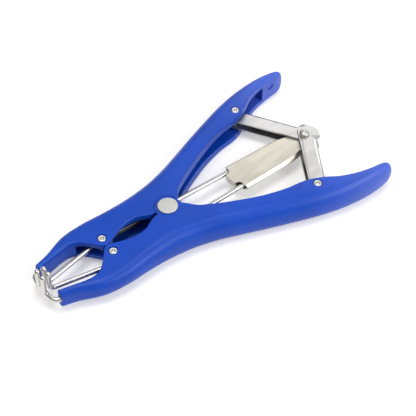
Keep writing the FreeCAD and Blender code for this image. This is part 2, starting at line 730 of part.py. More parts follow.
def link(label, inside, pin_clearance_formula, placement_turn, y_formula):
    """Sheet-metal channel: two side plates joined by a web that stops short of both ends."""
    body = new_body(label)
    sheet_formula = cell("link_sheet")
    outer_height = "2 * (%.6f + %s)" % (inside, sheet_formula)
    pad(body, link_outline(body), outer_height)
    length = size("link_length")
    web_near = size("web_start")
    web_far = length - size("web_stop")
    web_inside = size("link_rear") - size("link_sheet")
    wide = CLEAR / 2
    bends = new_sketch(body, "bends", "YZ_Plane", z="%s - %s" % (cell("link_length"), cell("web_stop")))
    outer = inside + size("link_sheet")
    rear = size("link_rear")
    radius = size("bend_radius")
    crown = radius * (1 - math.sqrt(0.5))
    for side in (1, -1):
        rim = [(rear - radius, side * outer), (rear, side * (outer - radius))]
        bends.addGeometry([bow(rim[0], (rear - crown, side * (outer - crown)), rim[1])] + polyline([
            rim[1], (rear + wide, side * (outer - radius)), (rear + wide, side * (outer + wide)),
            (rear - radius, side * (outer + wide)), rim[0]]), False)
    pocket(body, bends, "2 * " + cell("link_length"), symmetric=False)
    inner = new_sketch(body, "channel_inside")
    inner.addGeometry(closed([
        (-wide, -wide), (length + wide, -wide), (length + wide, wide), (web_far, wide),
        (web_far, web_inside), (web_near, web_inside), (web_near, wide), (-wide, wide)]), False)
    pocket(body, inner, "2 * %.6f" % inside)
    pin = new_sketch(body, "pin_hole")
    circle(pin, "%s / 2 + %s" % (cell("small_shank"), pin_clearance_formula))
    pocket(body, pin, "4 * " + cell("handle_thickness"))
    knee = new_sketch(body, "knee_hole")
    circle(knee, "%s / 2 + %s" % (cell("knee_shank"), cell("running_clearance")),
           cell("link_length"), "0")
    pocket(body, knee, "4 * " + cell("handle_thickness"))
    settle(body, placement_turn, cell("link_pin_reach"), y_formula)


def links():
    up = Vector(0, 0, 1)
    over = Rotation(Vector(1, 0, 0), 180)
    link("left_link", left_link_inside(), cell("running_clearance"),
         Rotation(up, -link_angle()), cell("link_pin_offset"))
    link("right_link", right_link_inside(), cell("open_pivot_clearance"),
         Rotation(up, link_angle()).multiply(over), "-" + cell("link_pin_offset"))


# Slider
def slider_half_outline(inset, front, rear):
    """Upper half of the slider's outline in plan, from its front edge to the knee."""
    knee = knee_reach()
    shoulder_x = knee - size("slider_shoulder_back")
    mouth = size("slider_mouth") - inset
    shoulder = size("slider_shoulder") - inset
    ear = size("slider_ear")
    slope = (shoulder - mouth) / (shoulder_x - front)
    turn = [(shoulder_x, shoulder), (shoulder_x + 5.5, 0.91 * shoulder)]
    flank = [segment((front, mouth), turn[0])]
    if rear is None:
        meet = (knee - 0.55 * ear, 0.835 * ear)
        turn += [(knee - 8.0, 0.72 * shoulder), meet]
        return flank + [spline(turn, start=(1, slope)), bow(meet, (knee + 0.4 * ear, 0.9165 * ear), (knee + ear, 0))]
    turn += [(rear, 0.72 * shoulder)]
    return flank + [spline(turn, start=(1, slope))]


def mirrored(curves):
    copies = []
    for curve in curves:
        copy = curve.copy()
        copy.mirror(Vector(0, 0, 0), Vector(1, 0, 0))
        copies.append(copy)
    return copies


def slider():
    """Flattened tube of folded sheet, open at the rear, with ears round the knee rivet."""
    body = new_body("slider")
    front = size("slider_front")
    mouth = size("slider_mouth")
    sheet_thickness = size("slider_sheet")
    outline = new_sketch(body, "outline")
    upper = slider_half_outline(0, front, None)
    outline.addGeometry(upper + mirrored(upper) + [segment((front, -mouth), (front, mouth))], False)
    height = "%s + 2 * (%s + %s)" % (cell("rod_diameter"), cell("rod_play"), cell("slider_sheet"))
    pad(body, outline, height)
    half = slider_half()

    def is_rolled(shape, edge):
        box = edge.BoundBox
        level = abs(abs(box.ZMax) - half) < 0.01 and box.ZLength < 0.01
        beside = min(abs(box.YMin), abs(box.YMax)) > size("slider_ear") * 0.8
        return level and beside and box.XLength > 2

    fillet(body, "0.94 * (%s)" % height + " / 2", is_rolled)
    inside = new_sketch(body, "hollow")
    rear = knee_reach() - 8.5
    start = front + sheet_thickness
    upper = slider_half_outline(sheet_thickness, start, rear)
    far = knee_reach() + CLEAR
    wide = 0.72 * (size("slider_shoulder") - sheet_thickness)
    inside.addGeometry(upper + mirrored(upper) + [
        segment((start, sheet_thickness - mouth), (start, mouth - sheet_thickness)),
        segment((rear, wide), (far, wide)), segment((far, wide), (far, -wide)),
        segment((far, -wide), (rear, -wide))], False)
    pocket(body, inside, "%s + 2 * %s" % (cell("rod_diameter"), cell("rod_play")))
    notches = new_sketch(body, "mouth_notches")
    for side in ("", "-"):
        circle(notches, cell("mouth_notch"), cell("slider_front"), side + cell("rod_offset"))
    pocket(body, notches, "4 * " + cell("handle_thickness"))
    hole = new_sketch(body, "knee_hole")
    circle(hole, "%s / 2 + %s" % (cell("knee_shank"), cell("fixed_clearance")),
           "%.9f" % knee_reach(), "0")
    pocket(body, hole, "4 * " + cell("handle_thickness"))
    settle(body)


# Rods and jaw wires
def rounded_path(corners, radii):
    """Straight runs joined by tangent arcs."""
    edges = []
    cursor = corners[0]
    for before, corner, after, radius in zip(corners, corners[1:], corners[2:], radii):
        back = (before - corner).normalize()
        ahead = (after - corner).normalize()
        half_turn = (math.pi - back.getAngle(ahead)) / 2
        reach = radius * math.tan(half_turn)
        entry = corner + back * reach
        leave = corner + ahead * reach
        middle = (back + ahead).normalize()
        crown = corner + middle * (radius / math.cos(half_turn) - radius)
        edges.append(Part.LineSegment(cursor, entry).toShape())
        edges.append(Part.Arc(entry, crown, leave).toShape())
        cursor = leave
    edges.append(Part.LineSegment(cursor, corners[-1]).toShape())
    return Part.Wire(edges)


def bent_bar(label, corners, radii, diameter):
    """Round bar bent along a path that leaves its plane, ending in an upright prong."""
    path = rounded_path(corners, radii)
    start = corners[0]
    direction = corners[1] - corners[0]
    ring_wire = Part.Wire([Part.Circle(start, direction, diameter / 2).toShape()])
    bar = path.makePipeShell([ring_wire], True, True)
    bulb = Part.makeSphere(size("prong_bulb") / 2, corners[-1])
    feature = doc.addObject("Part::Feature", label)
    feature.Label = label
    feature.Shape = bar.fuse(bulb).removeSplitter()
    feature.Placement = Placement(home(), Rotation())
    pieces.append(feature)


def prong_top():
    return size("prong_height") - size("prong_bulb") / 2


def rod(label, side):
    """Pull rod: from inside the slider, outside its guide rivet, in to its prong."""
    guide_y = size("guide_offset") + size("small_shank") / 2
    guide_y += size("rod_diameter") / 2 + size("rod_guide_clearance")
    tail_x = size("slider_front") + size("rod_tail")
    mouth_x = size("slider_front")
    bend_x = -size("guide_reach") - size("rod_bend_ahead")
    slope = (guide_y - size("rod_offset")) / (-size("guide_reach") - mouth_x)
    bend_y = size("rod_offset") + slope * (bend_x - mouth_x)
    tail_y = size("rod_offset") + slope * (tail_x - mouth_x)
    prong_x = -size("rod_prong_reach")
    prong_y = size("rod_prong_offset")
    corners = [
        Vector(tail_x, side * tail_y, 0),
        Vector(bend_x, side * bend_y, 0),
        Vector(prong_x, side * prong_y, 0),
        Vector(prong_x, side * prong_y, prong_top()),
    ]
    diameter = size("rod_diameter")
    bent_bar(label, corners, [3 * diameter, diameter], diameter)


def jaw_wire(label, side):
    """Jaw wire: set in the jaw, curved in across the nose and up to its prong."""
    angle = math.radians(size("wire_angle"))
    face = Vector(-size("nose_reach"), size("wire_exit_offset"), 0)
    along = Vector(math.cos(angle), math.sin(angle), 0)
    inner = face + along * size("wire_depth")
    first_bend = face - along * size("wire_lead")
    prong = Vector(-size("wire_prong_reach"), size("wire_prong_offset"), 0)
    corners = [inner, first_bend, prong, prong + Vector(0, 0, prong_top())]
    corners = [Vector(c.x, side * c.y, c.z) for c in corners]
    diameter = size("wire_diameter")
    bent_bar(label, corners, [1.2 * diameter, diameter], diameter)


def check_document():
    doc.recompute()
    for item in doc.Objects:
        if "Invalid" in item.State or "Error" in item.State:
            raise RuntimeError("failed object: " + item.Label)
    for piece in pieces:
        shape = piece.Shape
        if shape.isNull() or not shape.isValid() or len(shape.Solids) != 1:
            raise RuntimeError("bad shape: " + piece.Label)


def export():
    os.makedirs("parts", exist_ok=True)
    for piece in pieces:
        piece.Shape.exportStep(os.path.join("parts", piece.Label + ".step"))
        box = piece.Shape.BoundBox
        print("%-20s %9.1f mm3  x %7.2f %7.2f  y %7.2f %7.2f  z %6.2f %6.2f" % (
            piece.Label, piece.Shape.Volume, box.XMin, box.XMax, box.YMin, box.YMax,
            box.ZMin, box.ZMax))


def main():
    fill_sheet()
    moulded_half("left_half", False)
    moulded_half("right_half", True)
    pivot_stack()
    guide_half = half_at(-size("guide_reach"))
    small_rivet("left_guide_rivet", guide_half, "-" + cell("guide_reach"), cell("guide_offset"))
    small_rivet("right_guide_rivet", guide_half, "-" + cell("guide_reach"),
                "-" + cell("guide_offset"))
    small_rivet("left_link_rivet", half_thickness(), cell("link_pin_reach"),
                cell("link_pin_offset"))
    small_rivet("right_link_rivet", half_thickness(), cell("link_pin_reach"),
                "-" + cell("link_pin_offset"))
    links()
    knee_rivet()
    slider()
    rod("left_rod", 1)
    rod("right_rod", -1)
    jaw_wire("left_jaw_wire", 1)
    jaw_wire("right_jaw_wire", -1)
    check_document()
    export()


main()
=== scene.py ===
"""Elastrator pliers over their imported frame: moulded halves, wires, sheet linkage and studio."""

import json
import math

import bmesh
import bpy
import numpy as np
from bpy.props import FloatProperty, FloatVectorProperty, PointerProperty
from mathutils import Matrix, Vector


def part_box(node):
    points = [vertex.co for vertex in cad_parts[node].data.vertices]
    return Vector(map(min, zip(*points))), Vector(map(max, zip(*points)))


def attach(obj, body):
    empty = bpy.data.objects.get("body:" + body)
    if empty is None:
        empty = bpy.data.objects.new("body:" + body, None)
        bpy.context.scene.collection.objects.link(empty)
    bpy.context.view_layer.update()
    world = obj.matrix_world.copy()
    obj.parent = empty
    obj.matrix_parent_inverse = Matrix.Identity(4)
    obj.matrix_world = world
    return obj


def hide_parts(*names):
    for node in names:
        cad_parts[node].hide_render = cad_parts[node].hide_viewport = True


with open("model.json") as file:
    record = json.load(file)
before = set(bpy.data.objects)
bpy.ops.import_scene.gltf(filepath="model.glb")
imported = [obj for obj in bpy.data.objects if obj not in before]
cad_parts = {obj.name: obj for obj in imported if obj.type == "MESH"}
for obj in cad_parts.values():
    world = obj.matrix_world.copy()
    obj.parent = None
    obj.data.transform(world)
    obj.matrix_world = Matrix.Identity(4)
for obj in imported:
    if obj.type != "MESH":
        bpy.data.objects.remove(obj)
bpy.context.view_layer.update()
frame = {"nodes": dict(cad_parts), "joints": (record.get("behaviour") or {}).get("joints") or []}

bl_info = {
    "name": "Elastrator pliers",
    "version": (1, 0, 0),
    "blender": (4, 5, 0),
    "location": "View3D > Sidebar > Pliers",
    "description": "Dresses the packed frame of a pair of elastrator pliers",
    "category": "Object",
}

MM = 0.001
PIVOT = next(j["pos_m"] for j in frame["joints"] if j["name"] == "left_squeeze")
KNEE = next(j["pos_m"] for j in frame["joints"] if j["name"] == "knee_fold")
KNEE_X = 1000 * (KNEE[0] - PIVOT[0])
LINK_PIN = next(j["pos_m"] for j in frame["joints"] if j["name"] == "left_link_fold")
HALF_HEIGHT = 1000 * PIVOT[2]

# Stations of a half along X, in millimetres from the pivot, and its outer side at each
STATION_PITCH = 16.0
STATION_START = -96.0
OUTER_SIDE = [13.2, 17.3, 24.4, 26.2, 25.2, 25.0, 26.9, 31.1, 37.0, 43.3, 49.2, 54.6, 58.5, 60.3,
              60.0, 57.5]

# Share of the nose's thinning, and the width and height of the outer rounding at each station
THINNING = [1, 1, 1, 0.94, 0.60, 0.19, 0, 0, 0, 0, 0, 0, 0, 0, 0, 0]
OUTER_ROUND = [4.2, 5.0, 6.0, 6.6, 7.4, 8.6, 9.2, 9.4, 9.4, 9.4, 9.2, 8.8, 7.8, 6.8, 6.2, 5.8]
OUTER_DROP = [4.2, 5.0, 6.0, 6.6, 7.4, 8.6, 9.2, 9.4, 9.4, 9.5, 9.6, 9.6, 9.6, 9.4, 9.0, 9.0]
NOSE_HALF_HEIGHT = 7.1
NOSE_ROUND = 0.9

# Rounding of the inner edges against the distance from the pivot along X
INNER_ROUND = [(-89.0, 2.6), (-66.0, 2.6), (-56.0, 1.1), (-30.0, 0.9), (40.0, 0.9), (70.0, 0.9),
               (98.0, 0.95), (108.0, 1.1), (120.0, 2.8), (138.0, 4.6)]

# Inner side of a half in plan: distance from the pivot along X, distance from the centre plane
INNER_SIDE = [
    (-88.5, 9.8), (-79.0, 11.8), (-70.0, 13.6), (-65.0, 14.0), (-59.0, 12.2), (-55.0, 8.7),
    (-51.3, 4.3), (-48.8, 1.4), (-46.6, 0.15), (-43.6, 0.8), (-37.0, 3.4), (-30.5, 5.4),
    (-25.0, 5.8), (-20.0, 5.2), (-16.0, 3.2), (-12.0, 1.5), (-9.0, 0.9), (9.0, 2.2),
    (15.3, 9.5), (23.7, 14.8), (37.3, 21.8), (51.5, 28.0), (67.0, 32.7), (84.3, 35.9),
    (93.9, 40.3), (102.5, 45.8), (112.8, 49.6), (122.0, 51.0), (130.0, 51.5), (144.0, 51.8),
]
NOSE_END = -88.5
HANDLE_START = NOSE_END + 1.9
TIP_END = 138.5
TIP_CENTRE = 55.4
TIP_START = 126.0
OUTER_TIP_POWER = 5.0
INNER_TIP_POWER = 3.6
HEIGHT_TIP_POWER = 6.5

# Half height allowed towards the tip, against the distance from the pivot along X
SIDE_RELIEF = [(100.0, 10.7), (115.6, 10.6), (127.7, 9.76), (134.0, 9.0), (138.0, 7.8), (140.5, 6.0)]

# Slot for the rods, pocket for the link, hollow behind the guide rivets, the side that their
# cutters start from, and the ejector mark
SLOT_FRONT = -60.5
SLOT_REAR = 112.0
SLOT_HALF = 3.5
POCKET_FRONT = 72.0
POCKET_REAR = 118.0
POCKET_HALF = 5.6
POCKET_RUN = 30.0
LENS_FRONT = -40.5
LENS_REAR = -12.0
LENS_HALF = 6.1
WALL = 4.8
SLOT_WALL = 4.0
CUT_SIDE = -16.0
MARK_SPOT = (125.6, 2.2)
MARK_RADIUS = 2.5
MARK_DEPTH = 0.8

# Lapped ears round the pivot, its bore, and the seat for its tail
EAR_RADIUS = 8.5
RECESS_RADIUS = 8.8
LAP_TOP = 7.1
LAP_BOTTOM = 6.9
EAR_INSET = 0.05
PIVOT_BORE = 3.05
TAIL_SEAT_RADIUS = 6.2
TAIL_SEAT_DEPTH = 1.4

# Small rivets in a half: places, hole and seats
GUIDE_SPOT = (-45.6, 6.1)
LINK_SPOT = (1000 * (LINK_PIN[0] - PIVOT[0]), 1000 * LINK_PIN[1])
SMALL_HOLE = 1.67
HEAD_SEAT_RADIUS = 3.05
HEAD_SEAT_DEPTH = 1.0

# Reach of a cutter past the part, and start angles that keep cutters on one axis apart
PAST = 20.0
BORE_START = 0.013
TAIL_START = 0.027
SEAT_START = 0.019

# Pull rods and jaw wires: bends in plan, height of the prongs' tops, and the exit from the jaw
ROD_TAIL_SIDE = 6.87
ROD_BEND = (-50.0, 9.72)
ROD_PRONG = (-89.0, 2.4)
JAW_PRONG = (-93.2, 3.0)
PRONG_TOP = 15.5
JAW_EXIT_SIDE = 12.4
JAW_WIRE_ANGLE = 14.6
JAW_WIRE_INSIDE = 17.0
JAW_WIRE_OUTSIDE = 3.2

# Slider in plan, then its section: half height, sheet, flanks, and where the slope fades, as
# start and length, then its hollow, and the cuts at its mouth as (behind, aside, radius)
SLIDER_FRONT = 49.8
SLIDER_SHOULDER = 92.0
SLIDER_REAR = 109.28
SLIDER_MOUTH = 12.1
SLIDER_EAR = 4.9
SLIDER_HALF = 2.5
SLIDER_SHEET = 0.85
SLIDER_FLANK = 2.2
SLIDER_BEND = 0.32
SLOPE_FADE = (98.0, 10.0)
HOLLOW_INSET = 1.13
HOLLOW_FLANK = 1.45
HOLLOW_SIDE = 9.0
ROD_NOTCH = (1.2, 7.5, 2.9)
MOUTH_CORNER = (0.6, 12.2, 4.6)
KNEE_BORE = 1.95
EAR_GAP_FRONT = KNEE_X - 8.5


class PliersSizes(bpy.types.PropertyGroup):
    """Sizes that only the dressed pieces use."""

    rod_diameter: FloatProperty(
        name="Rod", description="Diameter of the two pull rods",
        default=3.2 * MM, min=1 * MM, max=5 * MM, unit="LENGTH", precision=5)
    wire_diameter: FloatProperty(
        name="Jaw wire", description="Diameter of the two jaw wires",
        default=3.1 * MM, min=1 * MM, max=5 * MM, unit="LENGTH", precision=5)
    bulb_diameter: FloatProperty(
        name="Prong end", description="Diameter of the rounded end of a prong",
        default=3.7 * MM, min=2 * MM, max=6 * MM, unit="LENGTH", precision=5)


class PliersColours(bpy.types.PropertyGroup):
    """Linear base colours of the finishes."""

    plastic: FloatVectorProperty(
        name="Moulded plastic", description="Blue of the two halves", subtype="COLOR", size=3,
        default=(0.003, 0.060, 0.47), min=0, max=1)
    sheet: FloatVectorProperty(
        name="Plated sheet", description="Links and slider", subtype="COLOR", size=3,
        default=(0.66, 0.64, 0.59), min=0, max=1)
    wire: FloatVectorProperty(
        name="Bright wire", description="Rods and jaw wires", subtype="COLOR", size=3,
        default=(0.66, 0.65, 0.62), min=0, max=1)
    rivet: FloatVectorProperty(
        name="Rivet steel", description="Rivets, washers and spacer", subtype="COLOR", size=3,
        default=(0.74, 0.74, 0.72), min=0, max=1)
    floor: FloatVectorProperty(
        name="Floor", description="Paper under the pliers", subtype="COLOR", size=3,
        default=(0.90, 0.885, 0.855), min=0, max=1)


# Curves and sections
def smooth_through(x, knots, values):
    """Cubic through uneven knots: each piece is a Hermite cubic whose end slopes are the
    mean slopes of the neighbouring spans, weighted by the lengths of the opposite spans."""
    x = np.asarray(x, float)
    knots = np.asarray(knots, float)
    values = np.asarray(values, float)
    spans = np.diff(knots)
    slopes = np.diff(values) / spans
    inner = (slopes[:-1] * spans[1:] + slopes[1:] * spans[:-1]) / (spans[:-1] + spans[1:])
    tangents = np.concatenate([[slopes[0]], inner, [slopes[-1]]])
    place = np.clip(np.searchsorted(knots, x, side="right") - 1, 0, len(spans) - 1)
    span = spans[place]
    t = (x - knots[place]) / span
    return (values[place] * (2 * t**3 - 3 * t**2 + 1)
            + tangents[place] * span * (t**3 - 2 * t**2 + t)
            + values[place + 1] * (3 * t**2 - 2 * t**3)
            + tangents[place + 1] * span * (t**3 - t**2))


def at_stations(x, values):
    """Smooth value of a station table at x."""
    knots = STATION_START + STATION_PITCH * np.arange(len(values))
    return smooth_through(x, knots, values)


def tip_share(x, power):
    """Square root of 1 minus the power of the way from the tip's start to its end:
    1 along the handle, falling to 0 at the very tip with an upright tangent."""
    way = np.clip((x - TIP_START) / (TIP_END - TIP_START), 0, 1)
    return np.sqrt(np.clip(1 - way**power, 0, 1))


def outer_side(x):
    """Outer side of a half in plan: the station curve, closed round the tip."""
    side = at_stations(x, OUTER_SIDE)
    return TIP_CENTRE + (side - TIP_CENTRE) * np.where(x > TIP_START, tip_share(x, OUTER_TIP_POWER), 1)


def inner_side(x):
    """Inner side of a half in plan: the curve through its points, closed round the tip."""
    side = smooth_through(x, *zip(*INNER_SIDE))
    return TIP_CENTRE - (TIP_CENTRE - side) * np.where(x > TIP_START, tip_share(x, INNER_TIP_POWER), 1)


def at(curve, x):
    """Value of a curve at one place along X."""
    return float(curve(np.array([x]))[0])


def half_height(x):
    """Half thickness of a half: thinner at the nose, flat along the handle, rounded off
    at the tip."""
    share = at_stations(x, THINNING)
    height = share * NOSE_HALF_HEIGHT + (1 - share) * (HALF_HEIGHT + 0.15)
    relief = smooth_through(x, *zip(*SIDE_RELIEF))
    height = np.minimum(np.minimum(height, HALF_HEIGHT), relief)
    return height * tip_share(x, HEIGHT_TIP_POWER)


def rounded_section(inner, outer, height, inner_round, outer_round, outer_drop):
    """Closed rounded rectangle for each station: arrays of (station, point, 2), Y and Z.
    Each corner is a quarter of an ellipse, as wide as its rounding and as high as its drop,
    and the sides between are straight."""
    room = 0.5 * (outer - inner)
    outer_drop = np.minimum(outer_drop, 0.98 * height)
    outer_round = np.minimum(outer_round, 1.25 * room)
    inner_drop = np.minimum(inner_round, 0.9 * height)
    inner_round = np.minimum(inner_round, 0.7 * room)
    corners = [
        (inner + inner_round, height - inner_drop, inner_round, inner_drop, math.pi),
        (outer - outer_round, height - outer_drop, outer_round, outer_drop, math.pi / 2),
        (outer - outer_round, outer_drop - height, outer_round, outer_drop, 0.0),
        (inner + inner_round, inner_drop - height, inner_round, inner_drop, -math.pi / 2),
    ]
    quarter = np.linspace(0, math.pi / 2, 9)
    arcs = []
    for centre_y, centre_z, wide, high, start in corners:
        angle = start - quarter[None, :]
        y = centre_y[:, None] + wide[:, None] * np.cos(angle)
        z = centre_z[:, None] + high[:, None] * np.sin(angle)
        arcs.append(np.stack([y, z], axis=2))
    shares = np.linspace(0, 1, 7)[1:-1]
    rows = []
    for number, arc in enumerate(arcs):
        rows.append(arc)
        start = arc[:, -1:, :]
        end = arcs[(number + 1) % 4][:, :1, :]
        rows.append(start + (end - start) * shares[None, :, None])
    return np.concatenate(rows, axis=1)


def carried(x, section):
    """Grid of points from a section (station, point, Y and Z) and the stations' X."""
    along = np.broadcast_to(x[:, None, None], (*section.shape[:2], 1))
    return np.concatenate([along, section], axis=2)


# Meshes
def mesh_piece(name, points, faces):
    """New object at the origin from points in metres and faces, doubles merged, facing out."""
    mesh = bpy.data.meshes.new(name)
    mesh.from_pydata(points.tolist(), [], faces)
    piece = bpy.data.objects.new(name, mesh)
    bpy.context.scene.collection.objects.link(piece)
    tidy(piece)
    return piece


def tidy(piece, distance=0.002 * MM):
    """Merge doubles, drop what has no area, and turn the faces outwards."""
    work = bmesh.new()
    work.from_mesh(piece.data)
    bmesh.ops.remove_doubles(work, verts=work.verts, dist=distance)
    bmesh.ops.dissolve_degenerate(work, dist=distance, edges=work.edges)
    bmesh.ops.recalc_face_normals(work, faces=work.faces)
    work.to_mesh(piece.data)
    work.free()


def surface(name, grid, cap_start=False, cap_end=False):
    """Skin over a grid of points (along, around, 3) in millimetres from the pivot: each four
    neighbours make a face, the last point round joins the first, and ends may be capped."""
    along, around = grid.shape[:2]
    number = np.arange(along * around).reshape(along, around)
    after = np.roll(number, -1, axis=1)
    quads = np.stack([number[:-1], number[1:], after[1:], after[:-1]], axis=-1)
    faces = quads.reshape(-1, 4).tolist()
    if cap_start:
        faces.append(number[0][::-1].tolist())
    if cap_end:
        faces.append(number[-1].tolist())
    return mesh_piece(name, placed(grid.reshape(-1, 3)), faces)


def placed(points):
    """Millimetres from the pivot to metres in the row frame."""
    return np.asarray(points, float) * MM + np.asarray(PIVOT)


def turned(name, profile, centre, segments, start=0.0):
    """Profile (radius, height) turned about an upright axis at centre: each profile point
    becomes a circle of its radius at its height, with its first corner at the start angle."""
    profile = np.asarray(profile, float)
    angle = start + np.linspace(0, 2 * math.pi, segments, endpoint=False)
    grid = np.empty((len(profile), segments, 3))
    grid[..., 0] = centre[0] + profile[:, :1] * np.cos(angle)
    grid[..., 1] = centre[1] + profile[:, :1] * np.sin(angle)
    grid[..., 2] = centre[2] + profile[:, 1:]
    return surface(name, grid)


def softened(points, reach):
    """Polyline with each inner corner replaced by a parabola between the points that lie
    reach before and after it, for a list of reaches."""
    points = [np.asarray(p, float) for p in points]
    share = np.linspace(0, 1, 5)[:, None]
    rows = [points[0][None]]
    for before, corner, after, near in zip(points, points[1:], points[2:], reach):
        if near <= 0:
            rows.append(corner[None])
            continue
        first = corner + (before - corner) * near / np.linalg.norm(before - corner)
        last = corner + (after - corner) * near / np.linalg.norm(after - corner)
        rows.append((1 - share) ** 2 * first + 2 * share * (1 - share) * corner + share**2 * last)
    rows.append(points[-1][None])
    return np.concatenate(rows)


def bent_line(corners, radii, pitch=0.5):
    """Straight runs joined by tangent arcs, as points about pitch apart: an arc's points are
    its centre plus the radius turned through equal angles."""
    corners = [np.asarray(c, float) for c in corners]
    rows = []
    cursor = corners[0]
    for before, corner, after, radius in zip(corners, corners[1:], corners[2:], radii):
        back = (before - corner) / np.linalg.norm(before - corner)
        ahead = (after - corner) / np.linalg.norm(after - corner)
        half_turn = (math.pi - math.acos(np.clip(back @ ahead, -1, 1))) / 2
        entry = corner + back * radius * math.tan(half_turn)
        middle = (back + ahead) / np.linalg.norm(back + ahead)
        centre = corner + middle * radius / math.cos(half_turn)
        count = max(2, int(np.linalg.norm(entry - cursor) / (4 * pitch)))
        rows.append(cursor + (entry - cursor) * np.linspace(0, 1, count, endpoint=False)[:, None])
        outward = (entry - centre) / radius
        angle = np.linspace(0, 2 * half_turn, max(6, int(2 * half_turn * radius / pitch)))[:, None]
        rows.append(centre + radius * (outward * np.cos(angle) - back * np.sin(angle)))
        cursor = rows[-1][-1]
        rows[-1] = rows[-1][:-1]
    rows.append(cursor + (corners[-1] - cursor) * np.linspace(0, 1, 9)[:, None])
    return np.concatenate(rows)


def tube(name, line, radius_at, lead):
    """Circle carried along a line, with closer steps over the lead at its end: its radius is
    a function of the distance to the end. Its normal is level, and where the line is upright
    it is the nearest level one, kept square to the line."""
    steps = np.linalg.norm(np.diff(line, axis=0), axis=1)
    travelled = np.concatenate([[0], np.cumsum(steps)])
    total = travelled[-1]
    extra = total - lead * (1 - np.cos(np.linspace(0, math.pi / 2, 14)))
    places = np.unique(np.round(np.concatenate([travelled, extra]), 5))
    line = np.stack([np.interp(places, travelled, line[:, i]) for i in range(3)], axis=1)
    tangent = np.gradient(line, axis=0)
    tangent /= np.linalg.norm(tangent, axis=1)[:, None]
    normal = np.cross(tangent, np.array([0.0, 0.0, 1.0]))
    level = np.flatnonzero(np.linalg.norm(normal, axis=1) >= 1e-3)
    nearest = level[np.abs(np.arange(len(line))[:, None] - level[None, :]).argmin(axis=1)]
    normal = normal[nearest]
    normal -= tangent * np.sum(normal * tangent, axis=1)[:, None]
    normal /= np.linalg.norm(normal, axis=1)[:, None]
    other = np.cross(tangent, normal)
    radius = radius_at(total - places)
    angle = np.linspace(0, 2 * math.pi, 32, endpoint=False)
    ring = (normal[:, None, :] * np.cos(angle)[None, :, None]
            + other[:, None, :] * np.sin(angle)[None, :, None])
    return surface(name, line[:, None, :] + ring * radius[:, None, None], cap_start=True)


def drum(name, centre, radius, low, high, start=0.0):
    """Plain cylinder used as a cutter or an ear. Cutters on one axis have different start
    angles, so that no corner of one lies on an edge of another."""
    profile = [(0, low), (radius, low), (radius, high), (0, high)]
    return turned(name, profile, (*centre, 0.0), 96, start)


def cheek(name, front, rear, half, depth, run=0.0, half_before=0.0):
    """Cutter for a slot: from past the centre plane to the outer side less the depth of its
    wall, as a four-cornered section carried along X, whose half height eases from
    half_before to half over the run."""
    x = np.linspace(front, rear, 90)
    painted_flange_shade = outer_side(x) - depth
    high = np.full_like(x, half)
    if run > 0:
        way = np.clip((x - front) / run, 0, 1)
        high = half_before + (half - half_before) * way * way * (3 - 2 * way)
    grid = np.empty((len(x), 4, 3))
    grid[..., 0] = x[:, None]
    shallow = np.full_like(x, CUT_SIDE)
    grid[:, :, 1] = np.stack([shallow, painted_flange_shade, painted_flange_shade, shallow], axis=1)
    grid[:, :, 2] = high[:, None] * np.array([-1, -1, 1, 1])
    return surface(name, grid, cap_start=True, cap_end=True)


def level_drum(name, spot, radius, near, far):
    """Cylinder along Y, used as a cutter: circles of the radius round (x, z) at near and far."""
    angle = np.linspace(0, 2 * math.pi, 48, endpoint=False)
    grid = np.empty((2, 48, 3))
    grid[..., 0] = spot[0] + radius * np.cos(angle)
    grid[..., 1] = np.array([[near], [far]])
    grid[..., 2] = spot[1] + radius * np.sin(angle)
    return surface(name, grid, cap_start=True, cap_end=True)


def settle_modifiers(piece):
    """Replace a piece's mesh by the result of its modifiers."""
    graph = bpy.context.evaluated_depsgraph_get()
    graph.update()
    result = bpy.data.meshes.new_from_object(piece.evaluated_get(graph))
    piece.modifiers.clear()
    old = piece.data
    piece.data = result
    bpy.data.meshes.remove(old)


def carve(piece, tool, operation="DIFFERENCE"):
    """Cut a tool out of a piece, or join it, and remove the tool."""
    cut = piece.modifiers.new("cut", "BOOLEAN")
    cut.object = tool
    cut.operation = operation
    cut.solver = "EXACT"
    settle_modifiers(piece)
    bpy.data.objects.remove(tool)


def smooth(piece, degrees):
    """Smooth shading, kept sharp where faces meet at more than the angle."""
    piece.data.shade_smooth()
    piece.data.set_sharp_from_angle(angle=math.radians(degrees))


def finish(piece, body, look, node):
    """Material, body and slot of a finished piece, and the node that it stands for."""
    piece.data.materials.clear()
    piece.data.materials.append(look)
    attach(piece, body)
    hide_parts(node)


def smoothed_node(node, body, look):
    """Merged, smoothly shaded copy of a CAD node whose shape is right."""
    source = frame["nodes"][node]
    piece = bpy.data.objects.new(node + "_finished", source.data.copy())
    bpy.context.scene.collection.objects.link(piece)
    tidy(piece, 0.001 * MM)
    smooth(piece, 32)
    finish(piece, body, look, node)


# Shader maths
class Socket:
    """Output of a shader node. Arithmetic on numbers adds Math nodes."""

    def __init__(self, shader, output):
        self.shader = shader
        self.output = output

    def maths(self, operation, *values):
        """Math node with the operation."""
        return self.shader.node("ShaderNodeMath", {"operation": operation}, values)

    def __add__(self, other):
        return self.maths("ADD", self, other)

    __radd__ = __add__

    def __mul__(self, other):
        return self.maths("MULTIPLY", self, other)

    __rmul__ = __mul__

    def __sub__(self, other):
        return self.maths("SUBTRACT", self, other)

    def __rsub__(self, other):
        return self.maths("SUBTRACT", other, self)

    def __pow__(self, other):
        return self.maths("POWER", self, other)

    def above(self, low, high):
        """0 below low, 1 above high, smooth between."""
        return self.shader.node(
            "ShaderNodeMapRange", {"interpolation_type": "SMOOTHSTEP", "clamp": True},
            {"Value": self, "From Min": low, "From Max": high})


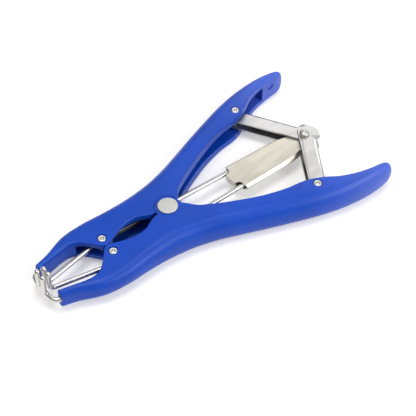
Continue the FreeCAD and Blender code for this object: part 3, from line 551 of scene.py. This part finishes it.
class Shader:
    """Node tree of one material, or of the world."""

    def __init__(self, name, tree=None):
        if tree is None:
            self.material = bpy.data.materials.new(name)
            self.material.use_nodes = True
            tree = self.material.node_tree
        self.tree = tree
        self.tree.nodes.clear()

    def node(self, kind, settings=None, inputs=None, output=0):
        """Any node: its settings first, then values or links for its sockets."""
        made = self.tree.nodes.new(kind)
        for key, value in (settings or {}).items():
            setattr(made, key, value)
        pairs = inputs.items() if isinstance(inputs, dict) else enumerate(inputs or ())
        for key, value in pairs:
            target = made.inputs[key]
            if isinstance(value, Socket):
                self.tree.links.new(value.output, target)
            else:
                target.default_value = value
        return Socket(self, made.outputs[output]) if len(made.outputs) else None

    def place(self, scale=(1, 1, 1), turn=(0, 0, 0)):
        """Object coordinates, scaled and turned."""
        where = self.node("ShaderNodeTexCoord", output="Object")
        return self.node("ShaderNodeMapping", {}, {"Vector": where, "Scale": scale, "Rotation": turn})

    def along(self, axis, way="Object"):
        """One coordinate of the object, or of the direction that the world is seen in."""
        where = self.node("ShaderNodeTexCoord", output=way)
        return self.node("ShaderNodeSeparateXYZ", {}, [where], output=axis)

    def noise(self, where, scale, detail=3.0, roughness=0.5):
        """Noise from 0 to 1 at a place."""
        return self.node("ShaderNodeTexNoise", {}, {
            "Vector": where, "Scale": scale, "Detail": detail, "Roughness": roughness})

    def mix(self, share, first, second):
        """Colour between first and second."""
        made = self.tree.nodes.new("ShaderNodeMix")
        made.data_type = "RGBA"
        for key, value in (("Factor", share), ("A", first), ("B", second)):
            target = next(s for s in made.inputs if s.name == key and s.enabled)
            if isinstance(value, Socket):
                self.tree.links.new(value.output, target)
            else:
                target.default_value = value if key == "Factor" else (*value, 1.0)
        return Socket(self, next(s for s in made.outputs if s.enabled))

    def ray(self, kind):
        """1 for the rays of one kind, 0 for the others."""
        return self.node("ShaderNodeLightPath", output="Is %s Ray" % kind)

    def bump(self, height, strength, distance, under=None):
        """Normal tilted by a height, over another normal if there is one."""
        inputs = {"Height": height, "Strength": strength, "Distance": distance}
        if under is not None:
            inputs["Normal"] = under
        return self.node("ShaderNodeBump", {}, inputs)

    def skin(self, **inputs):
        """Principled surface, joined to the output."""
        names = {key: key.replace("_", " ").title().replace("Ior", "IOR") for key in inputs}
        values = {names[key]: value for key, value in inputs.items()}
        skin = self.node("ShaderNodeBsdfPrincipled", {}, values)
        self.node("ShaderNodeOutputMaterial", {}, {"Surface": skin})
        return self.material


# Stretch of the wires in the halves' shade, as its fade in and fade out along X in metres
SHADED_WIRE = ((-0.074, -0.068), (-0.034, -0.028))


def tinted(colour, factor, tint=(1, 1, 1)):
    """Colour times a factor and a tint, no channel above 1."""
    return tuple(min(1.0, channel * factor * part) for channel, part in zip(colour, tint))


def moulded_plastic(colour):
    """Satin polyamide: slow tone changes, fine grain, faint handling scuffs, and a painted highlight that
    lightens the handles towards their tips, stronger where scuffed.
    """
    shader = Shader("moulded_plastic")
    where = shader.place()
    cloud = shader.noise(where, 38.0, 2.0)
    grain = shader.noise(where, 2600.0, 2.0, 0.6)
    scuff = shader.noise(shader.place((1, 3.2, 3.2), (0, 0, 0.5)), 240.0, 4.0, 0.7).above(0.60, 0.78)
    tone = shader.mix(cloud.above(0.3, 0.7), tinted(colour, 0.92), tinted(colour, 1.07))
    tone = shader.mix(scuff * 0.10, tone, (0.16, 0.25, 0.70))
    # Painted highlight: the blue turns paler along X towards the handle tips, a little more where scuffed
    painted_tip_highlight = shader.along("X").above(0.045, 0.125)
    tone = shader.mix(painted_tip_highlight * (0.34 + scuff * 0.2), tone, (0.20, 0.27, 0.86))
    return shader.skin(
        base_color=tone,
        roughness=0.36 + cloud * 0.06 + scuff * 0.10,
        specular_ior_level=0.30,
        normal=shader.bump(grain, 0.16, 0.00006),
        ior=1.5,
    )


def plated_sheet(colour, turn=0.0, shaded_below=0.0):
    """Dull zinc on rolled sheet: fine rolling lines, cloudy patches and small marks, and painted shade
    below a height, such as on a channel's flanges under its top plate."""
    shader = Shader("plated_sheet")
    lines = shader.noise(shader.place((14, 420, 14), (0, 0, turn)), 9.0, 4.0, 0.65)
    cloud = shader.noise(shader.place((0.22, 1, 1), (0, 0, turn)), 150.0, 4.0, 0.6)
    mark = shader.noise(shader.place(), 620.0, 3.0, 0.7).above(0.62, 0.80)
    tone = shader.mix(cloud.above(0.35, 0.70), tinted(colour, 0.84), tinted(colour, 1.04))
    tone = shader.mix(mark * 0.35, tone, (0.42, 0.40, 0.36))
    # Painted shade: darker grey below the given height, on the flanges under a link's top plate
    painted_flange_shade = 1 - shader.along("Z").above(shaded_below - 0.8 * MM, shaded_below)
    tone = shader.mix(painted_flange_shade * 0.16, tone, (0.22, 0.22, 0.22))
    return shader.skin(
        base_color=tone,
        metallic=1.0,
        roughness=0.30 + cloud * 0.14 + lines * 0.08 + mark * 0.12,
        normal=shader.bump(lines, 0.12, 0.00004, shader.bump(cloud, 0.08, 0.0002)),
    )


def link_sheet(node, degrees):
    """Sheet of one link: rolled along the link, with painted shade on the flanges under its top plate."""
    colour = tinted(bpy.context.scene.pliers_colours.sheet, 0.94, (0.98, 1, 1.06))
    return plated_sheet(colour, math.radians(degrees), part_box(node)[1].z - 0.6 * MM)


def bright_wire(colour):
    """Drawn and plated wire: bright, with faint draw lines and darker spots, and nearly
    black over the stretch inside the halves, where the photo shows it in deep shade."""
    shader = Shader("bright_wire")
    lines = shader.noise(shader.place((6, 260, 260)), 8.0, 3.0, 0.6)
    spot = shader.noise(shader.place(), 480.0, 3.0, 0.6).above(0.58, 0.78)
    tone = shader.mix(lines, tinted(colour, 0.86), tinted(colour, 1.12))
    tone = shader.mix(spot * 0.45, tone, (0.30, 0.28, 0.24))
    along = shader.along("X")
    before, after = SHADED_WIRE
    hidden = along.above(*before) * (1 - along.above(*after))
    tone = shader.mix(hidden * 0.92, tone, (0.030, 0.026, 0.024))
    return shader.skin(
        base_color=tone,
        metallic=1.0,
        roughness=0.27 + lines * 0.05 + spot * 0.12,
        normal=shader.bump(lines, 0.05, 0.00003),
    )


def rivet_steel(colour, name="rivet_steel", dull=0.0):
    """Bright rolled rivet metal with small pits, rougher and darker as dull goes up."""
    shader = Shader(name)
    pit = shader.noise(shader.place(), 1500.0, 3.0, 0.7).above(0.52, 0.74)
    cloud = shader.noise(shader.place(), 300.0, 3.0, 0.6)
    tone = shader.mix(cloud, tinted(colour, 0.90), tinted(colour, 1.08))
    tone = shader.mix(pit * (0.25 + dull), tone, (0.30, 0.29, 0.26))
    return shader.skin(
        base_color=tone,
        metallic=1.0,
        roughness=0.34 + dull * 0.4 + cloud * 0.08 + pit * 0.10,
        normal=shader.bump(pit, 0.15 + dull, 0.00006),
    )


# Materials already made, by key
MATERIALS = {}


def material(key):
    """Material of a finish, made once from the scene's colours."""
    colours = bpy.context.scene.pliers_colours
    if key not in MATERIALS:
        makers = {
            "moulded_plastic": lambda: moulded_plastic(tuple(colours.plastic)),
            "plated_sheet": lambda: plated_sheet(tinted(colours.sheet, 1.0, (0.97, 0.95, 0.88))),
            "left_link_sheet": lambda: link_sheet("left_link", 59),
            "right_link_sheet": lambda: link_sheet("right_link", -59),
            "bright_wire": lambda: bright_wire(tuple(colours.wire)),
            "rivet_steel": lambda: rivet_steel(tuple(colours.rivet)),
            "knee_dome": lambda: rivet_steel(
                tinted(colours.rivet, 0.86, (1, 0.98, 0.93)), "knee_dome", 0.16),
            "pivot_cap": lambda: rivet_steel(tinted(colours.rivet, 0.84), "pivot_cap", 0.35),
        }
        MATERIALS[key] = makers[key]()
    return MATERIALS[key]


# Pieces
def moulded_half():
    """Left half in its own place, from its blank to its bores. The blank is a rounded section
    carried along X, with a quarter circle round its nose."""
    quarter = np.linspace(0, math.pi / 2, 5)
    nose = NOSE_END + NOSE_ROUND * (1 - np.cos(quarter))
    handle = np.linspace(HANDLE_START, TIP_START, 172)
    tip = TIP_START + (TIP_END - TIP_START) * np.sin(np.linspace(0, math.pi / 2, 34))[1:]
    x = np.concatenate([nose, handle, tip])
    inset = np.zeros_like(x)
    inset[:len(nose)] = NOSE_ROUND * (1 - np.sin(quarter))
    section = rounded_section(
        inner_side(x) + inset, outer_side(x) - inset, half_height(x) - inset,
        smooth_through(x, *zip(*INNER_ROUND)), at_stations(x, OUTER_ROUND), at_stations(x, OUTER_DROP))
    piece = surface("left_half_moulding", carried(x, section), cap_start=True)
    carve(piece, cheek("slot", SLOT_FRONT, SLOT_REAR, SLOT_HALF, SLOT_WALL))
    carve(piece, cheek("pocket", POCKET_FRONT - POCKET_RUN, POCKET_REAR, POCKET_HALF, WALL,
                       POCKET_RUN, SLOT_HALF - 0.1))
    carve(piece, cheek("lens", LENS_FRONT, LENS_REAR, LENS_HALF, WALL))
    wall = at(inner_side, MARK_SPOT[0])
    carve(piece, level_drum("mark", MARK_SPOT, MARK_RADIUS, wall - 6, wall + MARK_DEPTH))
    carve(piece, drum("recess", (0, 0), RECESS_RADIUS, LAP_BOTTOM, PAST))
    carve(piece, drum("recess", (0, 0), RECESS_RADIUS, -LAP_TOP, 0))
    carve(piece, drum("ear", (0, 0), EAR_RADIUS, SLOT_HALF + EAR_INSET, LAP_BOTTOM - EAR_INSET), "UNION")
    carve(piece, drum("ear", (0, 0), EAR_RADIUS, EAR_INSET - HALF_HEIGHT, -LAP_TOP - EAR_INSET), "UNION")
    carve(piece, drum("bore", (0, 0), PIVOT_BORE, -PAST, PAST, BORE_START))
    carve(piece, drum("seat", (0, 0), TAIL_SEAT_RADIUS, -PAST, TAIL_SEAT_DEPTH - HALF_HEIGHT, TAIL_START))
    for spot in (GUIDE_SPOT, LINK_SPOT):
        floor = at(half_height, spot[0]) - HEAD_SEAT_DEPTH
        carve(piece, drum("hole", spot, SMALL_HOLE, -PAST, PAST))
        carve(piece, drum("seat", spot, HEAD_SEAT_RADIUS, floor, PAST, SEAT_START))
        carve(piece, drum("seat", spot, HEAD_SEAT_RADIUS, -PAST, -floor, SEAT_START))
    tidy(piece)
    return piece


def turned_over(piece, name):
    """Copy of a piece turned half a turn about the X axis through the pivot."""
    copy = bpy.data.objects.new(name, piece.data.copy())
    bpy.context.scene.collection.objects.link(copy)
    pivot = Vector(PIVOT)
    turn = Matrix.Translation(pivot) @ Matrix.Rotation(math.pi, 4, "X") @ Matrix.Translation(-pivot)
    copy.data.transform(turn)
    return copy


class PLIERS_OT_halves(bpy.types.Operator):
    """Make the two moulded halves"""

    bl_idname = "pliers.halves"
    bl_label = "Moulded halves"

    def execute(self, context):
        left = moulded_half()
        right = turned_over(left, "right_half_moulding")
        look = material("moulded_plastic")
        for piece, side in ((left, "left"), (right, "right")):
            smooth(piece, 34)
            finish(piece, side + "_handle", look, side + "_half")
        return {"FINISHED"}


def bulb_radius(wire, bulb):
    """Radius against the distance to a prong's top: a sphere at the end, the wire below."""
    def radius(distance):
        """Root of the sphere's radius squared less the distance to its centre squared."""
        sphere = np.sqrt(np.clip(bulb**2 - (bulb - distance) ** 2, 0, None))
        return np.where(distance < bulb, sphere, np.maximum(sphere, wire))
    return radius


class PLIERS_OT_wires(bpy.types.Operator):
    """Make the pull rods and the jaw wires, with their prongs"""

    bl_idname = "pliers.wires"
    bl_label = "Rods and jaw wires"

    def execute(self, context):
        sizes = context.scene.pliers_sizes
        rod = 500 * sizes.rod_diameter
        wire = 500 * sizes.wire_diameter
        bulb = 500 * sizes.bulb_diameter
        look = material("bright_wire")
        angle = math.radians(JAW_WIRE_ANGLE)
        along = np.array([math.cos(angle), math.sin(angle), 0])
        face = np.array([NOSE_END, JAW_EXIT_SIDE, 0])
        jaw_corners = [face + JAW_WIRE_INSIDE * along, face - JAW_WIRE_OUTSIDE * along,
                       (*JAW_PRONG, 0), (*JAW_PRONG, PRONG_TOP)]
        for side, word in ((1, "left"), (-1, "right")):
            tail = 1000 * (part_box(word + "_rod")[1].x - PIVOT[0])
            corners = [(tail, ROD_TAIL_SIDE, 0), (*ROD_BEND, 0), (*ROD_PRONG, 0), (*ROD_PRONG, PRONG_TOP)]
            line = bent_line(np.array(corners) * (1, side, 1), [6 * rod, 2 * rod])
            piece = tube(word + "_rod_wire", line, bulb_radius(rod, bulb), 2 * bulb)
            smooth(piece, 50)
            finish(piece, word + "_pull_rod", look, word + "_rod")
            line = bent_line(np.array(jaw_corners) * (1, side, 1), [2.4 * wire, 2 * wire])
            piece = tube(word + "_jaw_wire_bright", line, bulb_radius(wire, bulb), 2 * bulb)
            smooth(piece, 50)
            finish(piece, word + "_handle", look, word + "_jaw_wire")
        return {"FINISHED"}


def rolled_profile(half):
    """Small tubular rivet from its lower dimple to its upper one: rolled, domed rims."""
    floor = half - HEAD_SEAT_DEPTH + 0.05
    upper = [(0, floor - 0.75), (0.85, floor - 0.70), (1.15, floor + 0.25), (1.50, floor + 0.90),
             (2.20, floor + 0.88), (2.72, floor + 0.42), (2.70, floor), (1.65, floor)]
    upper = softened(upper, [0.15, 0.25, 0.28, 0.32, 0.25, 0.06])
    return np.concatenate([upper * (1, -1), upper[::-1]])


class PLIERS_OT_rivets(bpy.types.Operator):
    """Make the pivot rivet, the four small rivets and the knee rivet"""

    bl_idname = "pliers.rivets"
    bl_label = "Rivets and washers"

    def execute(self, context):
        steel = material("rivet_steel")
        half = HALF_HEIGHT
        outline = [(0, 0.1 - half), (3.65, 0.1 - half), (4.0, 0.5 - half), (4.0, -9.85), (3.0, -9.85),
                   (3.0, 9.85), (4.0, 9.85), (4.0, half + 0.1), (6.5, half + 0.1),
                   (6.5, half + 0.85), (6.1, half + 1.12), (3.0, half + 1.22), (0, half + 1.26)]
        profile = softened(outline, [0.2, 0.1, 0, 0, 0, 0, 0, 0.12, 0.25, 0.2, 1.0])
        pivot = turned("pivot_rivet_turned", profile, (0, 0, 0), 96)
        smooth(pivot, 40)
        finish(pivot, "pivot", material("pivot_cap"), "pivot_rivet")
        for side, word in ((1, "left"), (-1, "right")):
            for kind, spot in (("guide", GUIDE_SPOT), ("link", LINK_SPOT)):
                profile = rolled_profile(at(half_height, spot[0]))
                centre = (spot[0], side * spot[1], 0)
                piece = turned("%s_%s_rivet_rolled" % (word, kind), profile, centre, 64)
                smooth(piece, 40)
                finish(piece, word + "_handle", steel, "%s_%s_rivet" % (word, kind))
        for node in ("pivot_spacer", "upper_washer", "lower_washer"):
            smoothed_node(node, "pivot", steel)
        smoothed_node("knee_rivet", "rod_carrier", material("knee_dome"))
        return {"FINISHED"}


def slider_side(x):
    """Half width of the slider in plan: a straight flank, a curved shoulder, and then the
    circle of the ears round the knee."""
    bends = [(SLIDER_SHOULDER, 11.2), (98.5, 10.4), (103.6, 8.2), (SLIDER_REAR, 4.09)]
    length = SLIDER_SHOULDER - SLIDER_FRONT
    flank = SLIDER_MOUTH + (x - SLIDER_FRONT) * (bends[0][1] - SLIDER_MOUTH) / length
    shoulder = smooth_through(x, *zip(*bends))
    ear = np.sqrt(np.clip(SLIDER_EAR**2 - (x - KNEE_X) ** 2, 0, None))
    return np.where(x < SLIDER_SHOULDER, flank, np.where(x < SLIDER_REAR, shoulder, ear))


def folded_tube(name, x, inset, half, slope):
    """Flattened six-sided tube along X: level plates joined by two sloping flanks on each
    side, with each bend softened by a parabola between points on its two sides. The slope
    fades towards the ears."""
    wide = np.maximum(slider_side(x) - inset, 0.02)
    way = np.clip((x - SLOPE_FADE[0]) / SLOPE_FADE[1], 0, 1)
    run = np.minimum(slope * (1 - way * way * (3 - 2 * way)) + 0.02, 0.8 * wide)
    high = np.full_like(x, half)
    level = np.zeros_like(x)
    corners = [(wide - run, high), (wide, level), (wide - run, -high),
               (run - wide, -high), (-wide, level), (run - wide, high)]
    corners = [np.stack(corner, axis=1) for corner in corners]
    share = np.linspace(0, 1, 5)[:, None]
    rows = []
    for number, corner in enumerate(corners):
        ends = []
        for other in (corners[number - 1], corners[(number + 1) % 6]):
            gap = other - corner
            length = np.linalg.norm(gap, axis=1)[:, None]
            end = corner + gap / length * np.minimum(SLIDER_BEND, 0.4 * length)
            ends.append(end[:, None])
        rows.append((1 - share) ** 2 * ends[0] + 2 * (share * (1 - share)) * corner[:, None]
                    + share**2 * ends[1])
    return surface(name, carried(x, np.concatenate(rows, axis=1)), cap_start=True, cap_end=True)


def folded_slider():
    """Slider: the folded tube, hollow, open to the rear between its ears, notched for the
    rods and bored for the knee rivet."""
    ear = KNEE_X + SLIDER_EAR * np.sin(np.linspace(-0.55, math.pi / 2, 16))
    x = np.concatenate([np.linspace(SLIDER_FRONT, SLIDER_SHOULDER, 24),
                        np.linspace(SLIDER_SHOULDER + 0.6, SLIDER_REAR, 24), ear[1:]])
    piece = folded_tube("slider_folded", x, 0.0, SLIDER_HALF, SLIDER_FLANK)
    inside = np.concatenate([np.linspace(SLIDER_FRONT + 1, SLIDER_SHOULDER, 24),
                             np.linspace(SLIDER_SHOULDER + 0.6, EAR_GAP_FRONT, 14)])
    hollow_half = SLIDER_HALF - SLIDER_SHEET
    carve(piece, folded_tube("hollow", inside, HOLLOW_INSET, hollow_half, HOLLOW_FLANK))
    opening = np.array([(-1, -1), (1, -1), (1, 1), (-1, 1)]) * (HOLLOW_SIDE, hollow_half)
    gap_ends = np.array([EAR_GAP_FRONT - 0.5, EAR_GAP_FRONT + PAST])
    gap = carried(gap_ends, np.stack([opening, opening]))
    carve(piece, surface("gap", gap, cap_start=True, cap_end=True))
    for side in (1, -1):
        for (behind, aside, radius), start in ((ROD_NOTCH, 0.0), (MOUTH_CORNER, SEAT_START)):
            carve(piece, drum("notch", (SLIDER_FRONT + behind, side * aside), radius, -PAST, PAST, start))
    carve(piece, drum("bore", (KNEE_X, 0), KNEE_BORE, -PAST, PAST))
    tidy(piece)
    return piece


class PLIERS_OT_linkage(bpy.types.Operator):
    """Finish the two links and the slider"""

    bl_idname = "pliers.linkage"
    bl_label = "Links and slider"

    def execute(self, context):
        smoothed_node("left_link", "left_strut", material("left_link_sheet"))
        smoothed_node("right_link", "right_strut", material("right_link_sheet"))
        slider = folded_slider()
        smooth(slider, 30)
        finish(slider, "rod_carrier", material("plated_sheet"), "slider")
        return {"FINISHED"}


# Camera fitted to the photo, in metres, degrees and millimetres of focal length
TARGET = (0.003325, -0.00906, 0.0105)
DISTANCE = 0.757
ELEVATION = 48.58
AZIMUTH = -37.71
FOCAL_LENGTH = 103.85
SENSOR_WIDTH = 36.0

# Lamps: name, place and width in metres, power in watts
LAMPS = (
    ("top_lamp", (-0.12, 0.05, 1.30), 0.7, 7.6),
    ("side_lamp", (0.53, -0.88, 0.70), 0.8, 8.0),
    ("rear_lamp", (0.80, 0.72, 0.70), 0.5, 1.2),
)

# Floor seen by the camera: share of the lamps' light that it shows, and its own glow
LIT_SHARE = 0.90
GLOW_SHARE = 0.34
FLOOR_REACH = 6.0


def lamp(name, place, width, power):
    """Round soft lamp turned to the target."""
    light = bpy.data.lights.new(name, "AREA")
    light.shape = "DISK"
    light.size = width
    light.energy = power
    item = bpy.data.objects.new(name, light)
    bpy.context.scene.collection.objects.link(item)
    item.location = place
    item.rotation_euler = (Vector(place) - Vector(TARGET)).to_track_quat("Z", "Y").to_euler()


def paper(colour):
    """White paper: lit by the lamps, and to the camera, glossy and transmission rays partly
    self-lit, so that the background is white and the shadow stays."""
    shader = Shader("floor_paper")
    grain = shader.noise(shader.place(), 900.0, 2.0)
    tone = shader.mix(grain, tinted(colour, 0.99), tinted(colour, 1.01))
    lit = shader.node("ShaderNodeBsdfDiffuse", {}, {"Color": tone})
    glow = shader.node("ShaderNodeEmission", {}, {"Color": (1, 1, 1, 1), "Strength": 1.0})
    black = shader.node("ShaderNodeBsdfTransparent", {}, {"Color": (0, 0, 0, 1)})
    both = shader.node("ShaderNodeAddShader", {}, [
        shader.node("ShaderNodeMixShader", {}, [LIT_SHARE, black, lit]),
        shader.node("ShaderNodeMixShader", {}, [GLOW_SHARE, black, glow]),
    ])
    seen = shader.ray("Camera") + shader.ray("Glossy") + shader.ray("Transmission")
    whole = shader.node("ShaderNodeMixShader", {}, [seen, lit, both])
    shader.node("ShaderNodeOutputMaterial", {}, {"Surface": whole})
    return shader.material


def soft_sky():
    """White studio: bright above and darker towards the horizon, and plain white to the
    camera. Metal sees a bright card behind the pliers, which gives it light and dark bands."""
    world = bpy.data.worlds.new("soft_sky")
    world.use_nodes = True
    shader = Shader(None, world.node_tree)
    rear = shader.along("X", "Generated") * 0.8 + shader.along("Y", "Generated") * 0.6
    height = shader.along("Z", "Generated")
    camera = shader.ray("Camera")
    glossy = shader.ray("Glossy")
    sky = 0.26 + height.above(0.0, 0.8) * 0.16
    card = 0.24 + rear.above(0.42, 0.80) * height.above(0.15, 0.55) * 0.98
    strength = camera + (1 - camera) * (glossy * card + (1 - glossy) * sky)
    tone = shader.node("ShaderNodeBackground", {}, {"Color": (1, 1, 1, 1), "Strength": strength})
    shader.node("ShaderNodeOutputWorld", {}, {"Surface": tone})
    return world


class PLIERS_OT_studio(bpy.types.Operator):
    """Set the floor, the lamps, the sky and the camera"""

    bl_idname = "pliers.studio"
    bl_label = "Studio"

    def execute(self, context):
        scene = context.scene
        mesh = bpy.data.meshes.new("floor")
        corners = [(x * FLOOR_REACH, y * FLOOR_REACH, 0) for x, y in ((-1, -1), (1, -1), (1, 1), (-1, 1))]
        mesh.from_pydata(corners, [], [(0, 1, 2, 3)])
        floor = bpy.data.objects.new("floor", mesh)
        scene.collection.objects.link(floor)
        mesh.materials.append(paper(tuple(scene.pliers_colours.floor)))
        for name, place, width, power in LAMPS:
            lamp(name, place, width, power)
        scene.world = soft_sky()
        scene.view_settings.view_transform = "Standard"
        azimuth = math.radians(AZIMUTH)
        elevation = math.radians(ELEVATION)
        back = Vector((math.sin(azimuth) * math.cos(elevation),
                       -math.cos(azimuth) * math.cos(elevation), math.sin(elevation)))
        data = bpy.data.cameras.new("photo_camera")
        data.lens = FOCAL_LENGTH
        data.sensor_width = SENSOR_WIDTH
        camera = bpy.data.objects.new("photo_camera", data)
        scene.collection.objects.link(camera)
        camera.location = Vector(TARGET) + back * DISTANCE
        camera.rotation_euler = back.to_track_quat("Z", "Y").to_euler()
        scene.camera = camera
        return {"FINISHED"}


OPERATORS = (PLIERS_OT_halves, PLIERS_OT_wires, PLIERS_OT_rivets, PLIERS_OT_linkage, PLIERS_OT_studio)


class VIEW3D_PT_pliers(bpy.types.Panel):
    """Buttons for the pieces of the pliers"""

    bl_label = "Elastrator pliers"
    bl_idname = "VIEW3D_PT_pliers"
    bl_space_type = "VIEW_3D"
    bl_region_type = "UI"
    bl_category = "Pliers"

    def draw(self, context):
        for group in (context.scene.pliers_sizes, context.scene.pliers_colours):
            for key in group.__annotations__:
                self.layout.prop(group, key)
        for operator in OPERATORS:
            self.layout.operator(operator.bl_idname)


CLASSES = (PliersSizes, PliersColours, *OPERATORS, VIEW3D_PT_pliers)


def register():
    """Add the classes and the scene's settings."""
    for item in CLASSES:
        bpy.utils.register_class(item)
    bpy.types.Scene.pliers_sizes = PointerProperty(type=PliersSizes)
    bpy.types.Scene.pliers_colours = PointerProperty(type=PliersColours)


def unregister():
    """Take the scene's settings and the classes away again."""
    del bpy.types.Scene.pliers_colours
    del bpy.types.Scene.pliers_sizes
    for item in reversed(CLASSES):
        bpy.utils.unregister_class(item)


def main():
    """Make every piece and the studio."""
    register()
    bpy.ops.pliers.halves()
    bpy.ops.pliers.wires()
    bpy.ops.pliers.rivets()
    bpy.ops.pliers.linkage()
    bpy.ops.pliers.studio()


if __name__ == "__main__":
    main()
